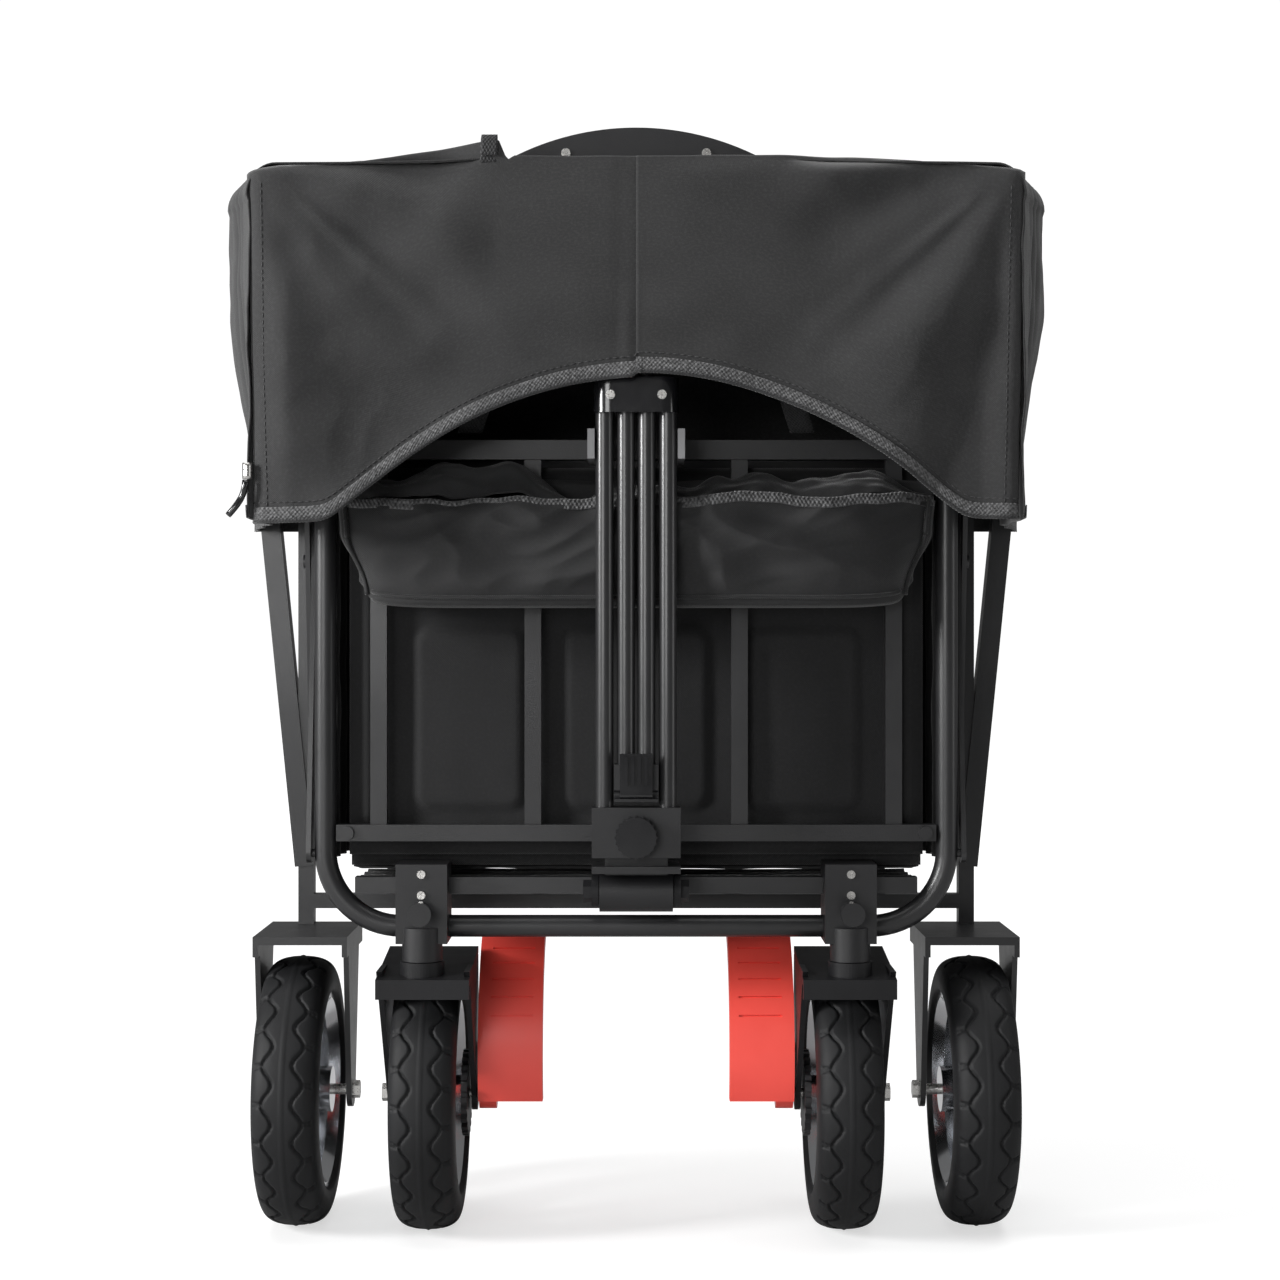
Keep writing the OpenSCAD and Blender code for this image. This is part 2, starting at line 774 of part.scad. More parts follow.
// A D-shaped grip: an arched bar over two arms that meet in a socket
module handle_grip() {
    arch_r = 190;
    half = grip_w / 2;
    band = 26;
    top = grip_z;
    fillet = 18;
    color("#1d1d1e") difference() {
        translate([0, handle_y + grip_t / 2, 0]) rotate([90, 0, 0]) linear_extrude(grip_t) difference() {
            intersection() {
                translate([0, top - arch_r]) circle(r = arch_r, $fn = 128);
                polygon([
                    [-24, socket_z], [24, socket_z], [half - 12, top - 62], [half, top - 48],
                    [half, top], [-half, top], [-half, top - 48], [-half + 12, top - 62]
                ]);
            }
            intersection() {
                translate([0, top - arch_r]) circle(r = arch_r - band, $fn = 128);
                polygon([
                    [-10, socket_z + fillet + 16], [10, socket_z + fillet + 16],
                    [half - 30, top - 50], [half - 24, top], [-half + 24, top], [-half + 30, top - 50]
                ]);
            }
        }
        both_sides() translate([inner_pitch / 2, handle_y, socket_z - 1]) {
            cylinder(r = handle_tube_r, h = 13);
        }
    }
}

module grip_screws() {
    color("silver") both_sides() translate([grip_w * 0.266, handle_y - grip_t / 2, grip_z - 18]) screw_head(3.2);
}

// ---- Canopy ----

function roof_z(y) = canopy_front_z + canopy_rise * (y - flap_y) / (canopy_back_y - flap_y);

module front_canopy_bow() {
    z = roof_z(frame_y) - cloth_t - bow_r - 1.5;
    pole_z = upright_top - canopy_travel - pole_grip;
    color("#3a3a3c") {
        translate([0, frame_y, z]) rod_x(bow_r, 2 * (canopy_front - 18));
        both_sides() translate([upright_x, frame_y, pole_z]) cylinder(r = pole_r, h = z - pole_z);
    }
}

module rear_canopy_bow() {
    z = roof_z(rear_y) - cloth_t - bow_r - 1.5;
    pole_z = upright_top - canopy_travel - pole_grip;
    color("#3a3a3c") {
        translate([0, rear_y, z]) rod_x(bow_r, 2 * (canopy_rear - 24));
        both_sides() translate([rail_x, rear_y, pole_z]) cylinder(r = bow_r, h = z - pole_z);
    }
}

// The canopy's outline seen from above, pulled in all round by the inset
module canopy_plan(inset) {
    polygon([
        [-canopy_front + inset, flap_y + cloth_t + gap], [canopy_front - inset, flap_y + cloth_t + gap],
        [canopy_rear - inset, canopy_back_y - inset], [-canopy_rear + inset, canopy_back_y - inset]
    ]);
}

// The space under the canopy's sloping roof, lowered by the drop
module under_roof(drop) {
    rotate([90, 0, 90]) linear_extrude(2 * canopy_rear + 2, center = true) polygon([
        [flap_y - 1, skirt_z - 1], [canopy_back_y + 1, skirt_z - 1],
        [canopy_back_y + 1, roof_z(canopy_back_y + 1) - drop], [flap_y - 1, roof_z(flap_y - 1) - drop]
    ]);
}

module canopy_top() {
    slot_half = grip_w / 2 + 10;
    color("#343436") difference() {
        intersection() {
            translate([0, 0, skirt_z]) linear_extrude(skirt_h + canopy_rise + 5) canopy_plan(0);
            under_roof(0);
        }
        intersection() {
            translate([0, -cloth_t, skirt_z - 1]) linear_extrude(skirt_h + canopy_rise) canopy_plan(cloth_t);
            under_roof(cloth_t);
        }
        translate([-slot_half, flap_y, skirt_z]) cube([2 * slot_half, 46, skirt_h + canopy_rise + 5]);
    }
}

module canopy_flap() {
    hem_r = 368;
    half_low = canopy_front - 5;
    color("#343436") translate([0, flap_y + cloth_t, 0]) rotate([90, 0, 0]) linear_extrude(cloth_t) difference() {
        polygon([
            [-half_low, skirt_z], [half_low, skirt_z],
            [canopy_front, canopy_front_z], [-canopy_front, canopy_front_z]
        ]);
        translate([0, skirt_z + 103 - hem_r]) circle(r = hem_r, $fn = 128);
    }
}

front_tube();
front_lower_bar();
front_grille();
handle_clips();
frame_bolts();
mirrored(-1) caster_housing();  // caster_housing_left
mirrored(1) caster_housing();  // caster_housing_right
housing_screws();
handle_clevis();
front_pouch();
front_wall();
side_fabric();
mirrored(-1) caster_fork();  // caster_fork_left
mirrored(1) caster_fork();  // caster_fork_right
place_front_wheel(-1) front_axle();  // front_axle_left
place_front_wheel(1) front_axle();  // front_axle_right
place_front_wheel(-1) tyre();  // front_tyre_left
place_front_wheel(1) tyre();  // front_tyre_right
place_front_wheel(-1) rim();  // front_rim_left
place_front_wheel(1) rim();  // front_rim_right
ring_at(-1);  // brake_ring_left
ring_at(1);  // brake_ring_right
mirrored(-1) translate([caster_x, 0, 0]) brake_pedal();  // brake_pedal_left
mirrored(1) translate([caster_x, 0, 0]) brake_pedal();  // brake_pedal_right
mirrored(-1) swivel_lock();  // swivel_lock_left
mirrored(1) swivel_lock();  // swivel_lock_right
rear_frame();
rear_grille();
rear_wall();
mirrored(-1) rear_fork();  // rear_fork_left
mirrored(1) rear_fork();  // rear_fork_right
place_rear_wheel(-1) rear_axle();  // rear_axle_left
place_rear_wheel(1) rear_axle();  // rear_axle_right
place_rear_wheel(-1) tyre();  // rear_tyre_left
place_rear_wheel(1) tyre();  // rear_tyre_right
place_rear_wheel(-1) rim();  // rear_rim_left
place_rear_wheel(1) rim();  // rear_rim_right
front_link_a();
front_link_b();
front_collars();
rear_link_a();
rear_link_b();
rear_collars();
floor_board_front();
floor_board_rear();
floor_centre_board();
handle_base();
handle_outer_tubes();
handle_collar();
collar_screws();
handle_knob();
handle_inner_tubes();
handle_carriage();
handle_latch();
handle_grip();
grip_screws();
front_canopy_bow();
rear_canopy_bow();
canopy_top();
canopy_flap();
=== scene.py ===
"""Kids pull wagon, folded: cloth, tyres, materials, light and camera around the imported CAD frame.
Sizes in this file are in millimetres and are turned into metres where a mesh is made."""
import math
import bmesh
import bpy
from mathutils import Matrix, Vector, noise


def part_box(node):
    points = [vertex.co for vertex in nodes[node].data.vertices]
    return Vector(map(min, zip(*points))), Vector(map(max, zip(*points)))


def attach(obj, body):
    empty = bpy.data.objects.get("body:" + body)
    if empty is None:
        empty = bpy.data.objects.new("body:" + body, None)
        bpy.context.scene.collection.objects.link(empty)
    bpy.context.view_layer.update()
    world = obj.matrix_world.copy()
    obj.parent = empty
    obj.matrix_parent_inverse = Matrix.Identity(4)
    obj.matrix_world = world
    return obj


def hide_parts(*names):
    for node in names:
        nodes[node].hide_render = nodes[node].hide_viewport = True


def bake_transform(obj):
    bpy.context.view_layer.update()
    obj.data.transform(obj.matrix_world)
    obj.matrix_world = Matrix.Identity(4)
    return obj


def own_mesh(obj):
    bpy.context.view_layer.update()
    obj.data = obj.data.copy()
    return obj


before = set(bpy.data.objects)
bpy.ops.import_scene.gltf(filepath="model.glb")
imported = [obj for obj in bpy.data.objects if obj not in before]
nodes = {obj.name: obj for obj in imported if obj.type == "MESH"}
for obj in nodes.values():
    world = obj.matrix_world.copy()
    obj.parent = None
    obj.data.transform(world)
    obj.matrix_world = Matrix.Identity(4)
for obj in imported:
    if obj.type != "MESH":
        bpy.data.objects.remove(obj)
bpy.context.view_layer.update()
MM = 0.001
TAU = 2 * math.pi


def box_mm(name):
    low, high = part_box(name)
    return [v / MM for v in low], [v / MM for v in high]


def lerp(a, b, t):
    return a + (b - a) * t


def smooth(a, b, x):
    t = min(1.0, max(0.0, (x - a) / (b - a)))
    return t * t * (3 - 2 * t)


def ripple(x, y, z, size, seed=0.0):
    return noise.noise(Vector((x / size + seed, y / size - seed, z / size + 2 * seed)))


# ---------------------------------------------------------------- materials

def new_material(name):
    mat = bpy.data.materials.new(name)
    mat.use_nodes = True
    return mat, mat.node_tree, mat.node_tree.nodes["Principled BSDF"]


def link(tree, a, out, b, into):
    tree.links.new(a.outputs[out], b.inputs[into])


def add_noise(tree, coord, coord_out, scale, detail=3.0, rough=0.55):
    n = tree.nodes.new("ShaderNodeTexNoise")
    n.inputs["Scale"].default_value = scale
    n.inputs["Detail"].default_value = detail
    n.inputs["Roughness"].default_value = rough
    link(tree, coord, coord_out, n, "Vector")
    return n


def add_ramp(tree, source, out, stops):
    r = tree.nodes.new("ShaderNodeValToRGB")
    link(tree, source, out, r, "Fac")
    els = r.color_ramp.elements
    for i, (pos, col) in enumerate(stops):
        e = els[i] if i < len(els) else els.new(pos)
        e.position = pos
        e.color = (*col, 1) if len(col) == 3 else (col[0], col[0], col[0], 1)
    return r


def add_math(tree, op, a, b=None):
    m = tree.nodes.new("ShaderNodeMath")
    m.operation = op
    for i, v in enumerate((a, b)):
        if v is None:
            continue
        if isinstance(v, tuple):
            tree.links.new(v[0].outputs[v[1]], m.inputs[i])
        else:
            m.inputs[i].default_value = v
    return m


def add_range(tree, source, out, low, high):
    r = tree.nodes.new("ShaderNodeMapRange")
    link(tree, source, out, r, "Value")
    r.inputs["To Min"].default_value = low
    r.inputs["To Max"].default_value = high
    return r


def shade(colour, k):
    return tuple(min(1.0, c * k) for c in colour)


def hard_material(name, colour, rough, metal=0.0, patch=18, spread=0.18, grain=900, bump=0.08,
                  rough_spread=0.08, coat=0.0, edge=None, specular=0.5):
    """Moulded, painted or plated surface: slow colour patches, fine grain, uneven gloss, worn edges."""
    mat, tree, bsdf = new_material(name)
    coord = tree.nodes.new("ShaderNodeTexCoord")
    slow = add_noise(tree, coord, "Object", patch)
    tint = add_ramp(tree, slow, "Fac", [(0.3, shade(colour, 1 - spread)), (0.7, shade(colour, 1 + spread))])
    fine = add_noise(tree, coord, "Object", grain, 2.0)
    last, last_out = tint, "Color"
    if edge:
        scuff = add_noise(tree, coord, "Object", 260, 5.0, 0.75)
        scuffed = add_ramp(tree, scuff, "Fac", [(0.66, (0.0,)), (0.74, (0.55,))])
        mix = tree.nodes.new("ShaderNodeMix")
        mix.data_type = "RGBA"
        tree.links.new(scuffed.outputs["Color"], mix.inputs[0])
        tree.links.new(tint.outputs["Color"], mix.inputs[6])
        mix.inputs[7].default_value = (*edge, 1)
        last, last_out = mix, 2
    tree.links.new(last.outputs[last_out], bsdf.inputs["Base Color"])
    wear = add_noise(tree, coord, "Object", patch * 4, 4.0)
    gloss = add_range(tree, wear, "Fac", max(0.03, rough - rough_spread), rough + rough_spread)
    link(tree, gloss, "Result", bsdf, "Roughness")
    relief = tree.nodes.new("ShaderNodeBump")
    relief.inputs["Strength"].default_value = bump
    relief.inputs["Distance"].default_value = 0.0006
    link(tree, fine, "Fac", relief, "Height")
    link(tree, relief, "Normal", bsdf, "Normal")
    bsdf.inputs["Metallic"].default_value = metal
    bsdf.inputs["Specular IOR Level"].default_value = specular
    bsdf.inputs["Coat Weight"].default_value = coat
    bsdf.inputs["Coat Roughness"].default_value = 0.12
    return mat


CLOTH_SHEEN = 0.22
CLOTH_SLUB = 0.22


def cloth_material(name, colour, pitch=1.3, rough=0.78, relief_mm=0.35, fleck=0.25, dark=0.62):
    """Plain weave in the cloth's own flat coordinates, with slubs, dust-grey wear and a soft sheen."""
    mat, tree, bsdf = new_material(name)
    uv = tree.nodes.new("ShaderNodeUVMap")
    uv.uv_map = "flat"
    parts = tree.nodes.new("ShaderNodeSeparateXYZ")
    link(tree, uv, "UV", parts, "Vector")
    turns = TAU / (pitch * MM)
    warp = add_math(tree, "SINE", (add_math(tree, "MULTIPLY", (parts, "X"), turns), 0))
    weft = add_math(tree, "SINE", (add_math(tree, "MULTIPLY", (parts, "Y"), turns), 0))
    weave = add_math(tree, "MULTIPLY", (warp, 0), (weft, 0))
    weave01 = add_range(tree, weave, 0, 0.0, 1.0)
    weave01.inputs["From Min"].default_value = -1.0
    slow = add_noise(tree, uv, "UV", 9, 4.0)
    slubs = add_noise(tree, uv, "UV", 420, 3.0, 0.7)
    base = add_ramp(tree, slow, "Fac",
                    [(0.3, shade(colour, 1 - CLOTH_SLUB)), (0.7, shade(colour, 1 + CLOTH_SLUB))])
    thread = add_ramp(tree, weave01, "Result", [(0.0, shade((1, 1, 1), dark)), (0.75, (1, 1, 1))])
    mix = tree.nodes.new("ShaderNodeMix")
    mix.data_type = "RGBA"
    mix.blend_type = "MULTIPLY"
    mix.inputs[0].default_value = 0.8
    tree.links.new(base.outputs["Color"], mix.inputs[6])
    tree.links.new(thread.outputs["Color"], mix.inputs[7])
    light = add_ramp(tree, slubs, "Fac", [(0.45, (0.0, 0.0, 0.0)), (0.78, shade(colour, 3.2))])
    add = tree.nodes.new("ShaderNodeMix")
    add.data_type = "RGBA"
    add.blend_type = "ADD"
    add.inputs[0].default_value = fleck
    tree.links.new(mix.outputs[2], add.inputs[6])
    tree.links.new(light.outputs["Color"], add.inputs[7])
    tree.links.new(add.outputs[2], bsdf.inputs["Base Color"])
    gloss = add_range(tree, slubs, "Fac", rough - 0.1, rough + 0.12)
    link(tree, gloss, "Result", bsdf, "Roughness")
    height = add_math(tree, "ADD", (weave01, "Result"), (slubs, "Fac"))
    relief = tree.nodes.new("ShaderNodeBump")
    relief.inputs["Strength"].default_value = 0.55
    relief.inputs["Distance"].default_value = relief_mm * MM
    link(tree, height, 0, relief, "Height")
    link(tree, relief, "Normal", bsdf, "Normal")
    bsdf.inputs["Sheen Weight"].default_value = CLOTH_SHEEN
    bsdf.inputs["Sheen Roughness"].default_value = 0.45
    bsdf.inputs["Specular IOR Level"].default_value = 0.3
    return mat


PAINT = hard_material("black_powder_coat", (0.016, 0.016, 0.017), 0.38, patch=14, grain=1400, bump=0.22,
                      coat=0.15, edge=(0.03, 0.03, 0.03))
TUBE = hard_material("satin_tube_paint", (0.018, 0.018, 0.019), 0.34, patch=10, grain=1200, bump=0.1,
                     coat=0.3, edge=(0.025, 0.025, 0.025))
# Darker copy of the frame paint: painted shade for the caster forks, handle base and clevis, which sit in
# shade.
SHADE_DARKENED_PAINT = hard_material("fork_paint_with_painted_shade", (0.011, 0.011, 0.012), 0.42, patch=14, grain=1400, bump=0.22,
                     specular=0.24)
PLASTIC = hard_material("moulded_black_plastic", (0.008, 0.008, 0.009), 0.44, grain=1500, bump=0.28)
GREY = hard_material("grey_plastic", (0.042, 0.043, 0.046), 0.5, grain=1500, bump=0.25)
GLOSS = hard_material("gloss_black_plastic", (0.006, 0.006, 0.007), 0.2, grain=600, bump=0.05, coat=0.5)
RUBBER = hard_material("tyre_rubber", (0.0095, 0.0097, 0.0105), 0.56, patch=25, spread=0.25, grain=1800,
                       bump=0.35, edge=(0.024, 0.0235, 0.0225), specular=0.26)
CHROME = hard_material("plated_rim", (0.72, 0.73, 0.75), 0.14, metal=1.0, patch=22, spread=0.06, grain=500,
                       bump=0.04, rough_spread=0.06)
BRAKE = hard_material("brake_plastic", (0.012, 0.012, 0.013), 0.5, grain=1300, bump=0.25)
RED = hard_material("pedal_red", (1.0, 0.088, 0.066), 0.36, patch=20, spread=0.07, grain=1500, bump=0.16,
                    coat=0.15)
ZINC = hard_material("zinc_steel", (0.62, 0.61, 0.59), 0.28, metal=1.0, patch=120, spread=0.12, grain=2200,
                     bump=0.1)
CANOPY = cloth_material("canopy_cloth", (0.026, 0.026, 0.0265), 1.5)
POUCH = cloth_material("pouch_cloth", (0.0115, 0.0115, 0.012), 1.5, rough=0.56)
BASKET = cloth_material("basket_cloth", (0.011, 0.011, 0.0115), 1.3)
BOARD = cloth_material("board_cloth", (0.018, 0.018, 0.0185), 1.6)
TAPE = cloth_material("binding_tape", (0.052, 0.052, 0.053), 3.0, rough=0.5, relief_mm=1.4, fleck=0.9,
                      dark=0.08)
WEBBING = cloth_material("strap_webbing", (0.022, 0.022, 0.023), 2.4, rough=0.6, relief_mm=0.9, dark=0.3)
THREAD = hard_material("stitch_thread", (0.030, 0.030, 0.031), 0.6, patch=400, grain=2500, bump=0.3)

CLIP = hard_material("pale_grey_plastic", (0.17, 0.17, 0.175), 0.42, grain=1500, bump=0.2)

FINISH = {
    "frame_paint": PAINT, "tube_paint": TUBE, "black_plastic": PLASTIC, "grey_plastic": GREY,
    "gloss_plastic": GLOSS, "tyre_rubber": RUBBER, "rim_chrome": CHROME, "brake_plastic": BRAKE,
    "pedal_red": RED, "zinc_steel": ZINC, "canopy_cloth": CANOPY, "pouch_cloth": POUCH,
    "basket_cloth": BASKET, "board_cloth": BOARD,
}
for obj in nodes.values():
    for s in obj.material_slots:
        s.material = FINISH[s.material.name.split(".")[0]]
nodes["handle_clips"].material_slots[0].material = CLIP
# The forks, handle base and clevis take the darker copy of the frame paint, which is painted shade.
for part in ("caster_fork_left", "caster_fork_right", "handle_base", "handle_clevis"):
    for s in nodes[part].material_slots:
        if s.material == PAINT:
            s.material = SHADE_DARKENED_PAINT


# ---------------------------------------------------------------- mesh helpers

def make_object(name, verts, faces, material, uvs=None):
    mesh = bpy.data.meshes.new(name)
    mesh.from_pydata([tuple(c * MM for c in v) for v in verts], [], faces)
    mesh.update()
    if uvs:
        layer = mesh.uv_layers.new(name="flat")
        for poly in mesh.polygons:
            for li in poly.loop_indices:
                u, v = uvs[mesh.loops[li].vertex_index]
                layer.data[li].uv = (u * MM, v * MM)
    mesh.polygons.foreach_set("use_smooth", [True] * len(mesh.polygons))
    obj = bpy.data.objects.new(name, mesh)
    bpy.context.scene.collection.objects.link(obj)
    mesh.materials.append(material)
    return obj


def settle(obj):
    """Apply the modifiers, so that the piece keeps only its mesh."""
    graph = bpy.context.evaluated_depsgraph_get()
    done = bpy.data.meshes.new_from_object(obj.evaluated_get(graph))
    obj.modifiers.clear()
    obj.data = done
    return obj


def outward(obj):
    bm = bmesh.new()
    bm.from_mesh(obj.data)
    bmesh.ops.recalc_face_normals(bm, faces=bm.faces)
    bm.to_mesh(obj.data)
    bm.free()
    return obj


def surface(name, point, us, vs, material, thick=1.0, skip=None):
    """A sheet through point(u, v); us and vs are the flat coordinates in millimetres of its threads."""
    verts = []
    uvs = []
    for v in vs:
        for u in us:
            verts.append(point(u, v))
            uvs.append((u, v))
    n = len(us)
    faces = []
    for j in range(len(vs) - 1):
        for i in range(n - 1):
            if skip and skip((us[i] + us[i + 1]) / 2, (vs[j] + vs[j + 1]) / 2):
                continue
            faces.append((j * n + i, j * n + i + 1, (j + 1) * n + i + 1, (j + 1) * n + i))
    obj = make_object(name, verts, faces, material, uvs)
    mod = obj.modifiers.new("thick", "SOLIDIFY")
    mod.thickness = thick * MM
    mod.offset = 0.0
    settle(obj)
    return obj


def spread(a, b, n):
    return [a + (b - a) * i / n for i in range(n + 1)]


def tube(name, points, radius, material, sides=10):
    """A round cord through points, with capped ends."""
    verts = []
    uvs = []
    faces = []
    length = 0.0
    count = len(points)
    up = Vector((0, 0, 1))
    for k, p in enumerate(points):
        p = Vector(p)
        a = Vector(points[max(0, k - 1)])
        b = Vector(points[min(count - 1, k + 1)])
        t = (b - a).normalized()
        side = t.cross(up)
        if side.length < 0.1:
            side = t.cross(Vector((0, 1, 0)))
        side.normalize()
        other = side.cross(t).normalized()
        if k:
            length += (p - Vector(points[k - 1])).length
        for i in range(sides):
            ang = TAU * i / sides
            q = p + side * (radius * math.cos(ang)) + other * (radius * math.sin(ang))
            verts.append(tuple(q))
            uvs.append((length, radius * ang))
    for k in range(count - 1):
        for i in range(sides):
            j = (i + 1) % sides
            faces.append((k * sides + i, k * sides + j, (k + 1) * sides + j, (k + 1) * sides + i))
    faces.append(tuple(range(sides)))
    faces.append(tuple(reversed(range((count - 1) * sides, count * sides))))
    return outward(make_object(name, verts, faces, material, uvs))


STITCH_PITCH = 5.0
STITCH_LENGTH = 3.4
STITCH_RADIUS = 0.45
STITCH_SIDES = 6


def stitches(name, path):
    """A row of thread stitches lying along path, a list of points."""
    pts = [Vector(p) for p in path]
    n = STITCH_SIDES
    verts = []
    faces = []
    want = STITCH_PITCH / 2
    run = 0.0
    for a, b in zip(pts, pts[1:]):
        seg = (b - a).length
        if seg < 1e-6:
            continue
        t = (b - a) / seg
        side = t.cross(Vector((0.3, 0.9, 0.2))).normalized()
        other = side.cross(t).normalized()
        while want <= run + seg:
            c = a + t * (want - run)
            base = len(verts)
            for along, wide in ((-0.5, 0.35), (-0.25, 1.0), (0.25, 1.0), (0.5, 0.35)):
                for i in range(n):
                    ang = TAU * i / n
                    out = side * math.cos(ang) + other * math.sin(ang)
                    q = c + t * (along * STITCH_LENGTH) + out * (STITCH_RADIUS * wide)
                    verts.append(tuple(q))
            for k in range(3):
                ring = base + k * n
                for i in range(n):
                    j = (i + 1) % n
                    faces.append((ring + i, ring + j, ring + n + j, ring + n + i))
            faces.append(tuple(base + i for i in range(n)))
            faces.append(tuple(base + 3 * n + i for i in reversed(range(n))))
            want += STITCH_PITCH
        run += seg
    return outward(make_object(name, verts, faces, THREAD))


# ---------------------------------------------------------------- tyres

def tyre(side, end, body):
    """Pneumatic tyre: round shoulders, a mould seam, and a wavy groove with short branches on each side."""
    name = f"{end}_tyre_{side}"
    low, high = box_mm(name)
    cx, cy, cz = [(a + b) / 2 for a, b in zip(low, high)]
    radius = (high[2] - low[2]) / 2
    half = (high[0] - low[0]) / 2
    hub = 75.0
    steps = 528
    waves = 22
    tread_half = 22
    groove_swing = 3.6
    profile = []
    shape = 60
    for k in range(shape + 1):
        a = math.pi * (k / shape) - math.pi / 2
        s = math.sin(a)
        c = max(0.0, math.cos(a))
        x = half * math.copysign(abs(s) ** 0.9, s)
        r = hub + (radius - hub) * c ** 0.42
        profile.append((x, r))
    verts = []
    pitch = TAU * radius / waves
    for i in range(steps):
        th = TAU * i / steps
        for x, r in profile:
            drop = 0.0
            t = abs(x)
            if t < tread_half and r > radius - 16:
                turn = waves * th + (0.0 if x > 0 else math.pi)
                wave = 11.0 + groove_swing * math.sin(turn)
                slope = math.hypot(1, groove_swing * waves / radius * math.cos(turn))
                drop = 2.6 * (1 - smooth(0.35, 1.25, abs(t - wave) / slope))
                near = abs((turn + math.pi / 2) % TAU - math.pi) / TAU * pitch
                if t > wave - 1:
                    branch = near - 0.25 * (t - wave)
                    fade = 1 - smooth(tread_half - 2, tread_half, t)
                    drop = max(drop, 2.2 * (1 - smooth(0.35, 1.2, abs(branch))) * fade)
            drop -= 0.7 * (1 - smooth(0.25, 0.9, t))
            verts.append((cx + x, cy + (r - drop) * math.cos(th), cz + (r - drop) * math.sin(th)))
    n = len(profile)
    faces = []
    for i in range(steps):
        j = (i + 1) % steps
        for k in range(n - 1):
            faces.append((i * n + k, i * n + k + 1, j * n + k + 1, j * n + k))
        faces.append((i * n + n - 1, i * n, j * n, j * n + n - 1))
    obj = outward(make_object(f"tread_{end}_{side}", verts, faces, RUBBER))
    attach(obj, body)
    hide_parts(name)


for side in ("left", "right"):
    tyre(side, "front", f"front_wheel_{side}")
    tyre(side, "rear", f"rear_wheel_{side}")

# ---------------------------------------------------------------- canopy

(_, fy0, fz0), (fx1, fy1, fz1) = box_mm("canopy_flap")
(_, ty0, _), (tx1, ty1, tz1) = box_mm("canopy_top")
FLAP_Y = (fy0 + fy1) / 2
SKIRT_Z = fz0
FRONT_HALF = fx1
BACK_HALF = tx1
FRONT_TOP = fz1
BACK_TOP = tz1
HEM_RISE = 101.0
TURN = 12.0
TAPE_WIDE = 9


def hem_z(x):
    """The hem arches over the handle and runs level towards both corners."""
    wide, low = (216.0, SKIRT_Z - 2) if x < 0 else (232.0, SKIRT_Z + 1)
    g = 1 - (x / wide) ** 2
    return low + HEM_RISE * 0.5 * (g + math.sqrt(g * g + 0.004))


def flap_y(x, z):
    """How far forward the flap hangs: folds that fall from its two top corners, and a centre crease."""
    d = 0.0
    for sign in (-1, 1):
        dx = FRONT_HALF - sign * x
        dz = FRONT_TOP - z
        r = math.hypot(dx, dz)
        phi = math.atan2(dz, dx)
        fade = smooth(20, 120, r) * (1 - smooth(250, 420, r))
        d += fade * (6.0 * math.sin(6.3 * phi + 0.6 + sign) + 3.4 * math.sin(11 * phi + 2 * sign))
        d += 3.0 * math.exp(-((phi - 0.72) / 0.07) ** 2) * smooth(30, 80, r) * (1 - smooth(150, 230, r))
    d += 8.0 * ripple(x, 0, z, 105, 3.1) + 4.2 * ripple(x * 0.7 + z * 0.5, 5, z - x * 0.4, 42, 1.7)
    d += 1.8 * (0.4 - abs(ripple(x + 0.5 * z, 2, z - 0.6 * x, 36, 6.7))) * smooth(60, 200, abs(x))
    d = max(-9.0, min(12.0, d))
    d += 1.6 * math.exp(-((x + 6) / 5.0) ** 2)
    edge = smooth(0, 30, FRONT_HALF - abs(x)) * smooth(0, 16, FRONT_TOP - z)
    top = 1.0 - 0.75 * smooth(650, 700, z) * (1 - smooth(95, 140, abs(x)))
    bend = max(0.0, abs(x) - (FRONT_HALF - TURN)) / TURN
    over = max(0.0, z - (FRONT_TOP - 5 - TURN)) / TURN
    back = TURN * (1 - math.sqrt(max(0.0, 1 - min(1.0, bend * bend + over * over))))
    return FLAP_Y - 1.5 - d * edge * top + back * (1 - (1 - top) * 1.3)


FLAP_TOP = [(-270, -13), (-245, -8), (-215, -6), (-95, 9.5), (-89, -5), (-84, -2), (150, -1.5),
            (190, -2.5), (231, -7), (270, -11)]


def flap_top(x):
    """The top edge climbs to the handle slot on the left, drops past it, and falls toward both corners."""
    for (xa, za), (xb, zb) in zip(FLAP_TOP, FLAP_TOP[1:]):
        if x <= xb:
            return FRONT_TOP + lerp(za, zb, (x - xa) / (xb - xa)) + 0.8 * ripple(x, 0, 0, 45, 4.4)
    return FRONT_TOP + FLAP_TOP[-1][1]


def flap_point(x, t):
    """t runs from 0 at the hem to 1 at the top edge."""
    lean = 1 - (5 / FRONT_HALF) * (1 - t)
    z = lerp(hem_z(x), flap_top(x), t)
    return (x * lean, flap_y(x, z), z)


